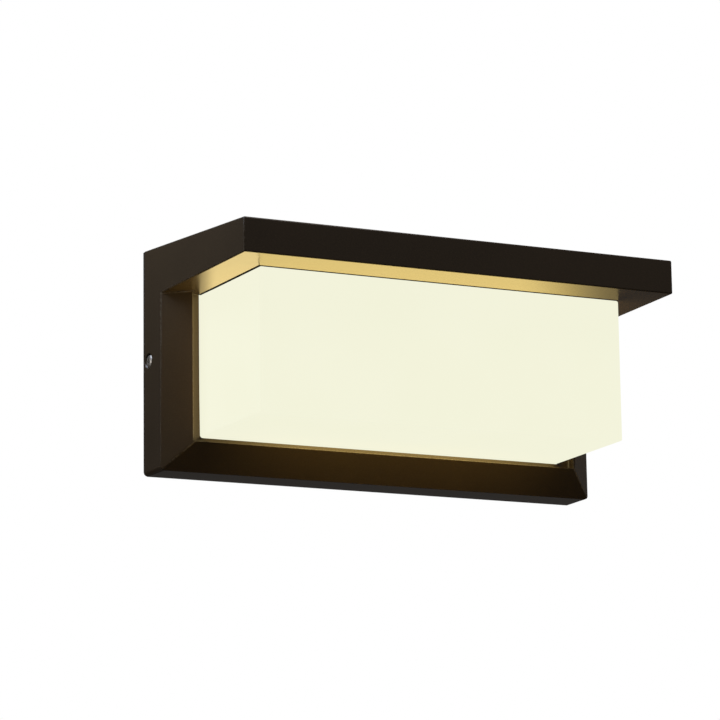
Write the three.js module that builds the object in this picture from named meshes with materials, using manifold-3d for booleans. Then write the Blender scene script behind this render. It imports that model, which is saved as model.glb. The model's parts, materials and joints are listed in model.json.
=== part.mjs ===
// Outdoor wall lantern: a die-cast housing whose hood stands out over a lit opal box. The lamp's
// parts go in from behind, and two side screws hold it on a steel bracket on the wall.
//
// Millimetres, +Z up. The wall is the plane y = 0, the front faces -Y, and the origin is on the
// bracket's back face, at mid-height. The parts are designed in a frame of their own, which one
// group stands up at the end: x to the right, y up from the bottom edge, z out from the wall.

import * as THREE from 'three';
import { mergeVertices } from 'three/addons/utils/BufferGeometryUtils.js';
import Module from 'manifold-3d';

const wasm = await Module();
wasm.setup();

// Housing, outside
const WIDTH = 260;
const BACK_HEIGHT = 123.5;
const HOOD_DEPTH = 126;
const HOOD_FRONT_HEIGHT = 114.5;
const HOOD_UNDERSIDE = 96;
const SIDE_DEPTH = 23; // where the bevel starts
const RIM_DEPTH = 35; // where the bevel ends in a sharp rim
const RIM_INSET = 15;
const FLOOR_DEPTH = 28; // the recessed floor behind the rim
const CORNER_RADIUS = 2.5;
const DRAFT = 3.5 / (HOOD_DEPTH * WIDTH / 2); // each side leans in by 3.5 at the hood's front
const REAR_EDGE = 1.5; // the housing's back edge, just in front of the wall gasket

// Housing, inside
const WALL = 3.2;
const INNER_HALF = WIDTH / 2 - 3.6;
const FLOOR_BACK = 25.4;
const HOOD_FLOOR = 99; // top of the hood's lower wall
const FRAME_HALF = 118; // the flat plate around the window
const FRAME_BOTTOM = 12;
const FRAME_TOP = 101;
const GAP = 0.3;

// Diffuser
const BOX_HALF = 108.5;
const BOX_BOTTOM = 18.3;
const BOX_TOP = 95.6;
const BOX_FRONT = 101;
const BOX_WALL = 2.2;
const BOX_DRAFT = 1.7 / 73 / BOX_HALF; // its sides lean in by 1.7 from the floor to the front
const BOX_CORNER = 1.2;
const FLANGE_BACK = 21.5;
const FLANGE_FRONT = 23.5;
const FLANGE_WIDTH = 3.9;

// LED tray and board
const TRAY = { half: 119.6, bottom: 7, top: 101.7, ear: 107, back: 19.7, front: 21.2 };
const DRIVER_MOUTH = 71; // half-width of the tray's notch, through which the driver goes in
const BOARD = { half: 98, bottom: 30, top: 84, back: 21.5, front: 23.1 };
const LED_COLUMNS = 10;
const LED_ROWS = 3;
const LED_PITCH = 19;
const LED_SIZE = [3.5, 2.8, 0.8];
const LED_ENTRY = { x: 60, y: 88.7 }; // the grommet that takes the LED leads through the tray

// Driver, in the hood
const DRIVER = { half: 58, bottom: 99.4, top: 113.8, back: 34, front: 74, wall: 1.5 };
const DRIVER_TAB = 68.5;
const DRIVER_SCREW_X = 63.5;
const DRIVER_MIDDLE = (DRIVER.bottom + DRIVER.top) / 2;
const COVER_BACK = 31.9;

// Terminal block, on the back of the tray
const POLES = [0, 1, 2]; // live, neutral and earth
const POLE_PITCH = 10.5;
const TERMINAL = { x: -54, bottom: 44.5, top: 62.5, back: 5.9, front: 19.4 };
const INSERT_DEPTH = 13.6;
const CLAMP_OFFSET = 4.6;

// Wall bracket and side screws
const SIDE_SCREW = { y: BACK_HEIGHT / 2, z: 7.5 };
const SEAT = 126.4; // the floor of the side screws' pockets
const EAR_FACE = 123.3;
const BRACKET = { thickness: 2, height: 40, earHeight: 18, earDepth: 13, bend: 2.6 };
const WALL_SLOT = { x: 60, length: 18, width: 5.5 };
const CABLE_NOTCH = { width: 24, depth: 14 };

// Screws: head radius and height, shank radius and length
const M3 = { head: 2.8, rise: 2, shank: 1.45, length: 6 };
const M3_SHORT = { ...M3, length: 4.5 };
const M3_DRIVER = { ...M3, length: 8 };
const M4_EARTH = { head: 3.7, rise: 2.6, shank: 1.9, length: 6 };
const M4_SIDE = { head: 3.8, rise: 2.2, shank: 1.9, length: 10 };
const CLAMP_SCREW = { head: 1.5, rise: 3, shank: 1.1, length: 0.6 };
const PILOT = 1.75; // radius of the hole for an M3 screw's thread
const CLEARANCE = 1.8;

const LEAD_RADIUS = 0.95;

const TRAY_SCREWS = [
  [-115.8, 18], [115.8, 18], [-115.8, 97], [115.8, 97],
  [-40, 10.8], [40, 10.8], [-78, 103.4], [78, 103.4],
];
const BOARD_SCREWS = [[-91, 35], [91, 35], [-91, 79], [91, 79]];

const FINISH = {
  paint: { color: 0x2b2420, roughness: 0.42, metalness: 0.35 },
  opal: { color: 0xf4f3dc, roughness: 0.35, metalness: 0 },
  aluminium: { color: 0xb9bcc0, roughness: 0.38, metalness: 0.9 },
  zinc: { color: 0xa9adb3, roughness: 0.33, metalness: 0.9 },
  stainless: { color: 0xc2c4c6, roughness: 0.25, metalness: 1 },
  brass: { color: 0xb08d45, roughness: 0.3, metalness: 1 },
  rubber: { color: 0x1c1c1d, roughness: 0.85, metalness: 0 },
  silicone: { color: 0xd8d8d2, roughness: 0.6, metalness: 0 },
  board: { color: 0xeeeeea, roughness: 0.45, metalness: 0 },
  circuit: { color: 0x2e6b3c, roughness: 0.5, metalness: 0 },
  plastic: { color: 0xe6e6e3, roughness: 0.5, metalness: 0 },
  winding: { color: 0xc7a23a, roughness: 0.55, metalness: 0 },
  capacitor: { color: 0x23252c, roughness: 0.4, metalness: 0.1 },
  red: { color: 0xa61c1c, roughness: 0.5, metalness: 0 },
  black: { color: 0x17171a, roughness: 0.5, metalness: 0 },
  brown: { color: 0x6b3f22, roughness: 0.5, metalness: 0 },
  blue: { color: 0x1f4fa0, roughness: 0.5, metalness: 0 },
  green: { color: 0x4f9a3a, roughness: 0.5, metalness: 0 },
};

// ---- Solids ----

// A closed geometry as a solid. Its shared vertices are merged first.
function solid(geometry) {
  const bare = geometry.clone();
  bare.deleteAttribute('normal');
  bare.deleteAttribute('uv');
  const merged = mergeVertices(bare, 1e-4);
  const corners = merged.index.array;
  const faces = [];
  for (let i = 0; i < corners.length; i += 3) {
    const [a, b, c] = [corners[i], corners[i + 1], corners[i + 2]];
    if (a !== b && b !== c && c !== a) faces.push(a, b, c);
  }
  return new wasm.Manifold(new wasm.Mesh({
    numProp: 3,
    vertProperties: merged.attributes.position.array,
    triVerts: new Uint32Array(faces),
  }));
}

// A solid's surface as a geometry.
function geometryOf(shape) {
  const mesh = shape.getMesh();
  const geometry = new THREE.BufferGeometry();
  geometry.setAttribute('position', new THREE.BufferAttribute(mesh.vertProperties, 3));
  geometry.setIndex(new THREE.BufferAttribute(mesh.triVerts, 1));
  geometry.computeVertexNormals();
  return geometry;
}

function union(shapes) {
  return shapes.reduce((whole, shape) => whole.add(shape));
}

// The same solid with each side leaning in as it goes forward from depth `from`.
function drafted(shape, rate, from = 0) {
  const geometry = geometryOf(shape);
  const place = geometry.attributes.position;
  for (let i = 0; i < place.count; i += 1) {
    place.setX(i, place.getX(i) * (1 - rate * (place.getZ(i) - from)));
  }
  return solid(geometry);
}

function block([x0, x1], [y0, y1], [z0, z1]) {
  const box = new THREE.BoxGeometry(x1 - x0, y1 - y0, z1 - z0);
  return solid(box.translate((x0 + x1) / 2, (y0 + y1) / 2, (z0 + z1) / 2));
}

// A matrix that turns local z to the given axis. The other two follow in cyclic order, so local
// (x, y) is (y, z) along the x axis, (z, x) along the y axis and (x, y) along the z axis.
function along(axis) {
  const [x, y, z] = [[1, 0, 0], [0, 1, 0], [0, 0, 1]].map((v) => new THREE.Vector3(...v));
  const basis = { x: [y, z, x], y: [z, x, y], z: [x, y, z] }[axis];
  return new THREE.Matrix4().makeBasis(...basis);
}

// A straight prism. Its outline is a shape, or a list of points, in the axis's cyclic order.
function prism(axis, outline, from, to) {
  const isShape = outline instanceof THREE.Shape;
  const shape = isShape ? outline : new THREE.Shape(outline.map((p) => new THREE.Vector2(...p)));
  const settings = { depth: to - from, bevelEnabled: false, curveSegments: 4 };
  const extrusion = new THREE.ExtrudeGeometry(shape, settings);
  return solid(extrusion.translate(0, 0, from).applyMatrix4(along(axis)));
}

// A turned piece: the profile's points are (radius, distance along the axis).
function turned(axis, profile, [a, b] = [0, 0], segments = 16) {
  const points = profile.map((p) => new THREE.Vector2(...p));
  const lathe = new THREE.LatheGeometry(points, segments).rotateX(Math.PI / 2).scale(1, -1, 1);
  const index = lathe.index.array;
  for (let i = 0; i < index.length; i += 3) {
    [index[i], index[i + 1]] = [index[i + 1], index[i]];
  }
  return solid(lathe.translate(a, b, 0).applyMatrix4(along(axis)));
}

function rod(axis, radius, from, to, centre, segments = 16) {
  return turned(axis, [[0, from], [radius, from], [radius, to], [0, to]], centre, segments);
}

function ring(axis, inner, outer, from, to, centre, segments = 16) {
  const profile = [[inner, from], [outer, from], [outer, to], [inner, to], [inner, from]];
  return turned(axis, profile, centre, segments);
}

// A rectangle's outline, with rounded corners where a radius is given: lower ones, upper ones.
function rectangle(half, y0, y1, lower, upper = lower) {
  const shape = new THREE.Shape();
  shape.moveTo(-half + lower, y0);
  shape.lineTo(half - lower, y0);
  if (lower) shape.absarc(half - lower, y0 + lower, lower, -Math.PI / 2, 0);
  shape.lineTo(half, y1 - upper);
  if (upper) shape.absarc(half - upper, y1 - upper, upper, 0, Math.PI / 2);
  shape.lineTo(-half + upper, y1);
  if (upper) shape.absarc(-half + upper, y1 - upper, upper, Math.PI / 2, Math.PI);
  shape.lineTo(-half, y0 + lower);
  if (lower) shape.absarc(-half + lower, y0 + lower, lower, Math.PI, 1.5 * Math.PI);
  return shape;
}

// A pan-head screw that points along z, its head behind z = 0, with a cross or a hexagon socket.
function screw({ head, rise, shank, length }, drive = 'cross', segments = 10) {
  const profile = [
    [0, -rise], [head * 0.7, -rise], [head, -rise * 0.5], [head, 0],
    [shank, 0], [shank, length - shank / 2], [shank * 0.5, length], [0, length],
  ];
  const blank = turned('z', profile, [0, 0], segments);
  const reach = head * 0.55;
  const depth = [-rise - 1, -rise * 0.4];
  if (drive === 'hexagon') return blank.subtract(rod('z', head * 0.38, ...depth, [0, 0], 6));
  if (drive === 'slot') return blank.subtract(block([-head - 1, head + 1], [-0.25, 0.25], depth));
  return blank
    .subtract(block([-reach, reach], [-0.4, 0.4], depth))
    .subtract(block([-0.4, 0.4], [-reach, reach], depth));
}

// An insulated lead: a round tube along a smooth curve through the given points.
function lead(points, steps) {
  const round = new THREE.EllipseCurve(0, 0, LEAD_RADIUS, LEAD_RADIUS);
  const places = points.map((p) => new THREE.Vector3(...p));
  const extrudePath = new THREE.CatmullRomCurve3(places, false, 'catmullrom', 0.4);
  const settings = { steps, extrudePath, bevelEnabled: false };
  return solid(new THREE.ExtrudeGeometry(new THREE.Shape(round.getPoints(8)), settings));
}

// ---- The group, and how a piece joins it ----

const lantern = new THREE.Group();
lantern.rotation.x = Math.PI / 2;
lantern.position.z = -BACK_HEIGHT / 2;

function addPiece(name, shape, finish, place = [0, 0, 0]) {
  const mesh = new THREE.Mesh(geometryOf(shape), new THREE.MeshStandardMaterial(FINISH[finish]));
  mesh.name = name;
  mesh.position.set(...place);
  lantern.add(mesh);
  return mesh;
}

// ---- Housing ----

const slope = (BACK_HEIGHT - HOOD_FRONT_HEIGHT) / HOOD_DEPTH;
const topAt = (depth) => BACK_HEIGHT - slope * depth;
const ceilingAt = (depth) => topAt(depth) - WALL;

// The space in front of the bevel along the bottom and both sides. The sides' stops at `top`.
function bevelSpace(top, back = 0) {
  const rise = RIM_DEPTH - SIDE_DEPTH;
  const inset = [-RIM_INSET, -RIM_INSET, 2 * RIM_INSET];
  const depth = [SIDE_DEPTH - rise, RIM_DEPTH + rise, RIM_DEPTH + rise].map((z) => z - back);
  const below = inset.map((y, i) => [y, depth[i]]);
  const left = inset.map((x, i) => [depth[i], x - WIDTH / 2]);
  const right = left.map(([z, x]) => [z, -x]);
  return union([
    prism('x', below.reverse(), -WIDTH, WIDTH),
    prism('y', left, -RIM_INSET, top),
    prism('y', right, -RIM_INSET, top),
  ]);
}

function housingOutside() {
  const half = WIDTH / 2;
  const front = rectangle(half, 0, HOOD_UNDERSIDE + 1, CORNER_RADIUS, 0);
  const frame = prism('z', front, REAR_EDGE, RIM_DEPTH);
  const hood = prism('x', [
    [HOOD_UNDERSIDE, REAR_EDGE], [topAt(REAR_EDGE), REAR_EDGE],
    [HOOD_FRONT_HEIGHT, HOOD_DEPTH], [HOOD_UNDERSIDE, HOOD_DEPTH],
  ], -half, half);
  return drafted(frame.subtract(bevelSpace(HOOD_UNDERSIDE)).add(hood), DRAFT);
}

// The hollow behind the frame and in the hood, less the flat plate that carries the diffuser.
function housingInside() {
  const bevelThickness = 3;
  const back = bevelThickness * Math.hypot(RIM_INSET, RIM_DEPTH - SIDE_DEPTH) / RIM_INSET;
  const deepest = 28.7;
  const recess = prism('x', [
    [WALL, -1], [ceilingAt(-1), -1], [ceilingAt(deepest), deepest], [WALL, deepest],
  ], -INNER_HALF, INNER_HALF);
  const front = HOOD_DEPTH - WALL;
  const bay = prism('x', [
    [HOOD_FLOOR, 10], [ceilingAt(10), 10], [ceilingAt(front), front], [HOOD_FLOOR, front],
  ], -INNER_HALF, INNER_HALF);
  const around = [[-FRAME_HALF, FRAME_HALF], [FRAME_BOTTOM, FRAME_TOP]];
  const plate = block(...around, [FLOOR_BACK, deepest + 1]);
  return recess
    .subtract(bevelSpace(HOOD_FLOOR, back))
    .add(drafted(bay, DRAFT))
    .subtract(plate);
}

function windowAndPocket() {
  const rim = WIDTH / 2 - RIM_INSET;
  const pocket = block([-rim, rim], [RIM_INSET, HOOD_UNDERSIDE], [FLOOR_DEPTH, RIM_DEPTH + 1]);
  const edge = rectangle(BOX_HALF + 0.4, BOX_BOTTOM - 0.4, HOOD_UNDERSIDE, 1.6, 0);
  return pocket.add(prism('z', edge, FLOOR_BACK - 1, FLOOR_DEPTH + 1));
}

// Posts inside the housing that the tray, the driver and the side screws fasten to.
function housingPosts() {
  const posts = TRAY_SCREWS.map((at) => rod('z', 2.6, FLANGE_BACK, FLOOR_DEPTH, at, 12));
  [-78, 78].forEach((x) => {
    posts.push(block([x - 4, x + 4], [HOOD_FLOOR - 1, 106.2], [FLOOR_BACK, 31]));
  });
  [-DRIVER_SCREW_X, DRIVER_SCREW_X].forEach((x) => {
    posts.push(block([x - 4, x + 4], [HOOD_FLOOR - 1, 111.5], [DRIVER.back, DRIVER.back + 11]));
  });
  [-92, 92].forEach((x) => {
    const web = [
      [HOOD_FLOOR - 1, 45], [ceilingAt(45) + 1, 45],
      [ceilingAt(124) + 1, 124], [HOOD_FLOOR - 1, 124],
    ];
    posts.push(prism('x', web, x - 1.25, x + 1.25));
  });
  const at = [SIDE_SCREW.y, SIDE_SCREW.z];
  posts.push(rod('x', 5.5, EAR_FACE + GAP, WIDTH / 2 - 1, at, 20));
  posts.push(rod('x', 5.5, -WIDTH / 2 + 1, -EAR_FACE - GAP, at, 20));
  return posts;
}

function housingHoles() {
  const holes = TRAY_SCREWS.map((at) => rod('z', PILOT, FLANGE_BACK - 1, 26.2, at, 10));
  [-DRIVER_SCREW_X, DRIVER_SCREW_X].forEach((x) => {
    holes.push(rod('z', PILOT, DRIVER.back - 1, DRIVER.back + 8, [x, DRIVER_MIDDLE], 10));
  });
  const at = [SIDE_SCREW.y, SIDE_SCREW.z];
  const half = WIDTH / 2 + 1;
  const through = M4_SIDE.shank + GAP;
  const pocket = M4_SIDE.head + 0.5;
  holes.push(rod('x', through, -half, half, at, 20));
  holes.push(rod('x', pocket, SEAT, half, at, 28), rod('x', pocket, -half, -SEAT, at, 28));
  return holes;
}

function addHousing() {
  const shell = housingOutside().subtract(housingInside()).add(union(housingPosts()));
  addPiece('housing', shell.subtract(windowAndPocket()).subtract(union(housingHoles())), 'paint');
}

// ---- Diffuser and its gasket ----

function addDiffuser() {
  const outline = rectangle(BOX_HALF, BOX_BOTTOM, BOX_TOP, BOX_CORNER);
  const outer = prism('z', outline, FLANGE_BACK, BOX_FRONT);
  const innerHalf = BOX_HALF - BOX_WALL;
  const inner = prism(
    'z',
    rectangle(innerHalf, BOX_BOTTOM + BOX_WALL, BOX_TOP - BOX_WALL, 0.8),
    FLANGE_BACK - 1,
    BOX_FRONT - BOX_WALL,
  );
  const out = BOX_HALF + FLANGE_WIDTH;
  const edge = rectangle(out, BOX_BOTTOM - FLANGE_WIDTH, BOX_TOP + FLANGE_WIDTH, 3);
  const flange = prism('z', edge, FLANGE_BACK, FLANGE_FRONT);
  const box = drafted(outer, BOX_DRAFT, FLOOR_DEPTH).add(flange);
  addPiece('diffuser', box.subtract(drafted(inner, BOX_DRAFT, FLOOR_DEPTH)), 'opal');
  const margin = FLANGE_WIDTH - 0.2;
  const seal = rectangle(BOX_HALF + margin, BOX_BOTTOM - margin, BOX_TOP + margin, 3);
  seal.holes.push(rectangle(BOX_HALF + 0.9, BOX_BOTTOM - 0.9, BOX_TOP + 0.9, 1.6));
  addPiece('diffuser_gasket', prism('z', seal, FLANGE_FRONT + GAP, FLOOR_BACK - GAP), 'silicone');
}

// ---- LED tray, board and leads ----

function addTray() {
  const { half, bottom, top, ear, back, front } = TRAY;
  const sheet = prism('z', rectangle(half, bottom, ear, 4), back, front);
  const mouth = block([-DRIVER_MOUTH, DRIVER_MOUTH], [top, ear + 1], [back - 1, front + 1]);
  const holes = [...TRAY_SCREWS, ...BOARD_SCREWS, ...terminalFixings()]
    .map((at) => rod('z', CLEARANCE, back - 1, front + 1, at, 12));
  holes.push(rod('z', 3.6, back - 1, front + 1, [LED_ENTRY.x, LED_ENTRY.y]));
  holes.push(rod('z', 2.2, back - 1, front + 1, EARTH_AT));
  addPiece('led_tray', sheet.subtract(mouth).subtract(union(holes)), 'aluminium');
  TRAY_SCREWS.forEach(([x, y], i) => {
    addPiece(`tray_screw_${i + 1}`, screw(M3), 'zinc', [x, y, back - GAP]);
  });
}

function addBoard() {
  const { half, bottom, top, back, front } = BOARD;
  const holes = BOARD_SCREWS.map((at) => rod('z', CLEARANCE, back - 1, front + 1, at, 12));
  const sheet = prism('z', rectangle(half, bottom, top, 2), back, front).subtract(union(holes));
  const [w, h, t] = LED_SIZE;
  const middle = (bottom + top) / 2;
  const leds = [];
  for (let column = 0; column < LED_COLUMNS; column += 1) {
    for (let row = 0; row < LED_ROWS; row += 1) {
      const x = (column - (LED_COLUMNS - 1) / 2) * LED_PITCH;
      const y = middle + (row - (LED_ROWS - 1) / 2) * LED_PITCH;
      leds.push(block([x - w / 2, x + w / 2], [y - h / 2, y + h / 2], [front - 0.1, front + t]));
    }
  }
  addPiece('led_board', sheet.add(union(leds)), 'board');
  // Each board screw has its head on the board and its thread in the tray.
  BOARD_SCREWS.forEach(([x, y], i) => {
    const mesh = addPiece(`board_screw_${i + 1}`, screw(M3_SHORT), 'zinc', [x, y, front + GAP]);
    mesh.rotation.y = Math.PI;
  });
}

// Each LED lead leaves the driver, drops behind the tray, and comes through it to the board.
function addLedLeads() {
  const { x, y } = LED_ENTRY;
  const tray = TRAY.back;
  const grommet = [
    [2.6, 18], [4.4, 18], [4.4, 19.4], [3.3, 19.4],
    [3.3, 21.5], [4.1, 21.5], [4.1, 22.7], [2.6, 22.7],
  ];
  addPiece('tray_grommet', turned('z', [...grommet, grommet[0]], [x, y]), 'silicone');
  [['plus', -1, 'red'], ['minus', 1, 'black']].forEach(([name, side, finish]) => {
    const start = 40 + side * 2.4;
    const end = x + side * 1.3;
    addPiece(`led_lead_${name}`, lead([
      [start, DRIVER_MIDDLE, COVER_BACK - GAP], [start, DRIVER_MIDDLE, 24],
      [start + 1, 104 + side * 1.3, tray - 5], [end - 6, 98 + side * 1.3, tray - 6],
      [end - 1, y + 2, tray - 5.5], [end, y, tray - 1], [end, y, 23.4],
      [end, y - 2.2, 25.6], [end, y - 5.4, 25],
    ], 24), finish);
  });
}

// ---- Driver ----

function addDriver() {
  const { half, bottom, top, back, front, wall } = DRIVER;
  const outer = prism('z', rectangle(half, bottom, top, 1.5), back, front);
  const inside = [[wall - half, half - wall], [bottom + wall, top - wall]];
  const hollow = block(...inside, [back - 1, front - wall]);
  addPiece('driver_case', outer.subtract(hollow), 'plastic');

  const leadHoles = [-47.4, -42.6, 37.6, 42.4]
    .map((x) => rod('z', LEAD_RADIUS + GAP, COVER_BACK - 1, back, [x, DRIVER_MIDDLE], 10));
  const fixings = [-DRIVER_SCREW_X, DRIVER_SCREW_X]
    .map((x) => rod('z', CLEARANCE, COVER_BACK - 1, back, [x, DRIVER_MIDDLE], 12));
  const cover = prism('z', rectangle(DRIVER_TAB, bottom, top, 2), COVER_BACK, back - GAP);
  addPiece('driver_end_cover', cover.subtract(union([...leadHoles, ...fixings])), 'plastic');
  [-DRIVER_SCREW_X, DRIVER_SCREW_X].forEach((x, i) => {
    const place = [x, DRIVER_MIDDLE, COVER_BACK - GAP];
    addPiece(`driver_screw_${i + 1}`, screw(M3_DRIVER), 'zinc', place);
  });

  const floor = bottom + wall + GAP;
  const deck = floor + 1.6;
  const board = block([3 - half, half - 3], [floor, deck], [back + 2, front - 4]);
  addPiece('driver_board', board, 'circuit');
  const core = block([-9, 9], [deck + GAP, deck + 8.6], [back + 8, back + 24]);
  const coil = block([-6, 6], [deck + 1.5, deck + 7.4], [back + 5, back + 27]);
  addPiece('driver_transformer', core.add(coil), 'winding');
  addPiece('driver_capacitor', rod('x', 4, -40, -24, [deck + GAP + 4, back + 14]), 'capacitor');
}

// ---- Terminal block, mains leads and earth ----

const EARTH_AT = [-12, 88];

function poleX(pole) {
  return TERMINAL.x + (pole - (POLES.length - 1) / 2) * POLE_PITCH;
}

function terminalFixings() {
  const middle = (TERMINAL.bottom + TERMINAL.top) / 2;
  return [poleX(0.5), poleX(1.5)].map((x) => [x, middle]);
}

function addTerminalBlock() {
  const { bottom, top, back, front } = TERMINAL;
  const middle = (bottom + top) / 2;
  const half = POLES.length * POLE_PITCH / 2;
  const shoulder = back + 3;
  const profile = [
    [bottom, front], [bottom, shoulder], [bottom + 2, back],
    [top - 2, back], [top, shoulder], [top, front],
  ];
  const cuts = [];
  POLES.forEach((pole) => {
    const x = poleX(pole);
    cuts.push(rod('y', 2.4, bottom - 1, top + 1, [INSERT_DEPTH, x], 14));
    [-CLAMP_OFFSET, CLAMP_OFFSET].forEach((offset) => {
      cuts.push(rod('z', 1.9, back - 1, INSERT_DEPTH, [x, middle + offset], 12));
    });
  });
  terminalFixings().forEach((at) => {
    cuts.push(rod('z', CLEARANCE, back - 1, front + 1, at, 12));
    cuts.push(rod('z', 3.1, back - 1, front - 4, at));
  });
  const body = prism('x', profile, TERMINAL.x - half, TERMINAL.x + half);
  addPiece('terminal_block', body.subtract(union(cuts)), 'plastic');

  terminalFixings().forEach(([x, y], i) => {
    addPiece(`terminal_fixing_${i + 1}`, screw(M3), 'zinc', [x, y, front - 4 - GAP]);
  });
  POLES.forEach((pole) => {
    const x = poleX(pole);
    const tube = ring('y', 1.3, 2.1, bottom + 1.5, top - 1.5, [INSERT_DEPTH, x], 14);
    const taps = [-CLAMP_OFFSET, CLAMP_OFFSET]
      .map((offset) => rod('z', 1.35, back, INSERT_DEPTH, [x, middle + offset], 10));
    addPiece(`terminal_insert_${pole + 1}`, tube.subtract(union(taps)), 'brass');
    [-CLAMP_OFFSET, CLAMP_OFFSET].forEach((offset, i) => {
      const place = [x, middle + offset, INSERT_DEPTH - 2.4];
      addPiece(`clamp_screw_${2 * pole + i + 1}`, screw(CLAMP_SCREW, 'slot', 12), 'zinc', place);
    });
  });
}

// The live and neutral leads go from the block up to the driver, over the tray's notch.
function addMainsLeads() {
  const start = TERMINAL.top - 3;
  const routes = [['live', 0, -47.4, 'brown'], ['neutral', 1, -42.6, 'blue']];
  routes.forEach(([name, pole, end, finish]) => {
    const x = poleX(pole);
    addPiece(`${name}_lead`, lead([
      [x, start, INSERT_DEPTH], [x, start + 8, INSERT_DEPTH],
      [x + (end - x) * 0.4, 83, 14.4], [end, 98, 14.6], [end, 105.2, 18],
      [end, DRIVER_MIDDLE, 25], [end, DRIVER_MIDDLE, COVER_BACK - GAP],
    ], 24), finish);
  });
}

function addEarth() {
  const [ex, ey] = EARTH_AT;
  const tray = TRAY.back;
  const x = poleX(2);
  const start = TERMINAL.top - 3;
  const lugBack = tray - 1.9;
  addPiece('earth_lead', lead([
    [x, start, INSERT_DEPTH], [x, start + 8, INSERT_DEPTH], [x + 4, start + 16, 14.4],
    [ex - 24, ey - 3, 15.8], [ex - 17, ey, 17.1], [ex - 10.4, ey, 17.1],
  ], 18), 'green');
  const plate = rod('z', 4, lugBack, lugBack + 0.8, EARTH_AT);
  const neck = block([ex - 8, ex - 3], [ey - 1.6, ey + 1.6], [lugBack, lugBack + 0.8]);
  const axis = [ey, lugBack - 0.7];
  const barrel = ring('x', LEAD_RADIUS + GAP, LEAD_RADIUS + 1, ex - 13, ex - 7.4, axis, 12);
  const bore = rod('x', LEAD_RADIUS + GAP, ex - 14, ex - 7.4, axis, 12);
  const hole = rod('z', 2.2, 0, tray, EARTH_AT);
  const lug = union([plate, neck.subtract(bore), barrel]).subtract(hole);
  addPiece('earth_lug', lug, 'brass');
  const teeth = Array.from({ length: 24 }, (_, i) => {
    const angle = i * Math.PI / 12;
    const r = i % 2 ? 3.2 : 3.9;
    return [ex + r * Math.cos(angle), ey + r * Math.sin(angle)];
  });
  const washer = prism('z', teeth, lugBack + 1.1, tray - GAP).subtract(hole);
  addPiece('earth_washer', washer, 'stainless');
  addPiece('earth_screw', screw(M4_EARTH), 'brass', [ex, ey, lugBack - GAP]);
}

// ---- Wall bracket, wall gasket and side screws ----

function bracketProfile() {
  const { thickness, earDepth, bend } = BRACKET;
  const shape = new THREE.Shape();
  const inside = EAR_FACE - thickness;
  const inner = bend - thickness;
  shape.moveTo(0, 0);
  shape.lineTo(EAR_FACE - bend, 0);
  shape.absarc(EAR_FACE - bend, bend, bend, -Math.PI / 2, 0);
  shape.lineTo(EAR_FACE, earDepth);
  shape.lineTo(inside, earDepth);
  shape.lineTo(inside, bend);
  shape.absarc(inside - inner, bend, inner, 0, -Math.PI / 2, true);
  shape.lineTo(0, thickness);
  return shape;
}

// A horizontal slot's outline, with round ends.
function slot(x, y, length, width) {
  const r = width / 2;
  const run = length / 2 - r;
  const shape = new THREE.Shape();
  shape.absarc(x + run, y, r, -Math.PI / 2, Math.PI / 2);
  shape.absarc(x - run, y, r, Math.PI / 2, 1.5 * Math.PI);
  return shape;
}

function addBracket() {
  const { thickness, height, earHeight, earDepth } = BRACKET;
  const middle = BACK_HEIGHT / 2;
  const [low, high] = [middle - height / 2, middle + height / 2];
  const outline = bracketProfile().getPoints(4).map((p) => [p.y, p.x]);
  const rightHalf = prism('y', outline, low, high);
  const mirrored = outline.map(([z, x]) => [z, -x]);
  const strip = rightHalf.add(prism('y', mirrored, low, high));
  const reach = EAR_FACE + 1;
  const spans = [[low - 1, middle - earHeight / 2], [middle + earHeight / 2, high + 1]];
  const trims = spans.flatMap((span) => [
    block([-reach, -EAR_FACE + 5], span, [-1, earDepth + 1]),
    block([EAR_FACE - 5, reach], span, [-1, earDepth + 1]),
  ]);
  const slots = [-WALL_SLOT.x, WALL_SLOT.x]
    .map((x) => prism('z', slot(x, middle, WALL_SLOT.length, WALL_SLOT.width), -1, thickness + 1));
  const { width, depth } = CABLE_NOTCH;
  const notch = prism('z', rectangle(width / 2, low - 5, low + depth, 0, 6), -1, thickness + 1);
  const at = [SIDE_SCREW.y, SIDE_SCREW.z];
  const inside = EAR_FACE - thickness;
  const collars = [
    rod('x', 4, inside - 1.5, inside + 1, at),
    rod('x', 4, -inside - 1, 1.5 - inside, at),
  ];
  const threads = rod('x', M4_SIDE.shank + 0.25, -reach, reach, at);
  const plate = strip.subtract(union([...trims, ...slots, notch])).add(union(collars));
  addPiece('wall_bracket', plate.subtract(threads), 'zinc');
}

function addWallGasket() {
  const half = WIDTH / 2 - 0.3;
  const top = topAt(REAR_EDGE) - 0.3;
  const edge = rectangle(half, 0.3, top, CORNER_RADIUS, 0.4);
  edge.holes.push(rectangle(INNER_HALF, WALL, top - WALL + 0.3, 0.4));
  addPiece('wall_gasket', prism('z', edge, 0, REAR_EDGE - GAP), 'rubber');
}

// The side screws stand across the others, so each one's head is out at its side's pocket.
function addSideScrews() {
  const ringThickness = 0.7;
  const seat = SEAT + GAP;
  const profile = [
    [2.3, 0.35], [2.45, 0], [2.95, 0], [3.1, 0.35],
    [2.95, ringThickness], [2.45, ringThickness], [2.3, 0.35],
  ];
  [['left', -1], ['right', 1]].forEach(([name, side]) => {
    const place = (x) => [side * x, SIDE_SCREW.y, SIDE_SCREW.z];
    const seal = turned('z', profile, [0, 0], 20);
    const sealRing = addPiece(`side_o_ring_${name}`, seal, 'rubber', place(seat));
    sealRing.rotation.y = side * Math.PI / 2;
    const head = seat + ringThickness + GAP;
    const blank = screw(M4_SIDE, 'hexagon', 24);
    const bolt = addPiece(`side_screw_${name}`, blank, 'stainless', place(head));
    bolt.rotation.y = -side * Math.PI / 2;
  });
}

addHousing();
addDiffuser();
addTray();
addBoard();
addLedLeads();
addDriver();
addTerminalBlock();
addMainsLeads();
addEarth();
addBracket();
addWallGasket();
addSideScrews();

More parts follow.
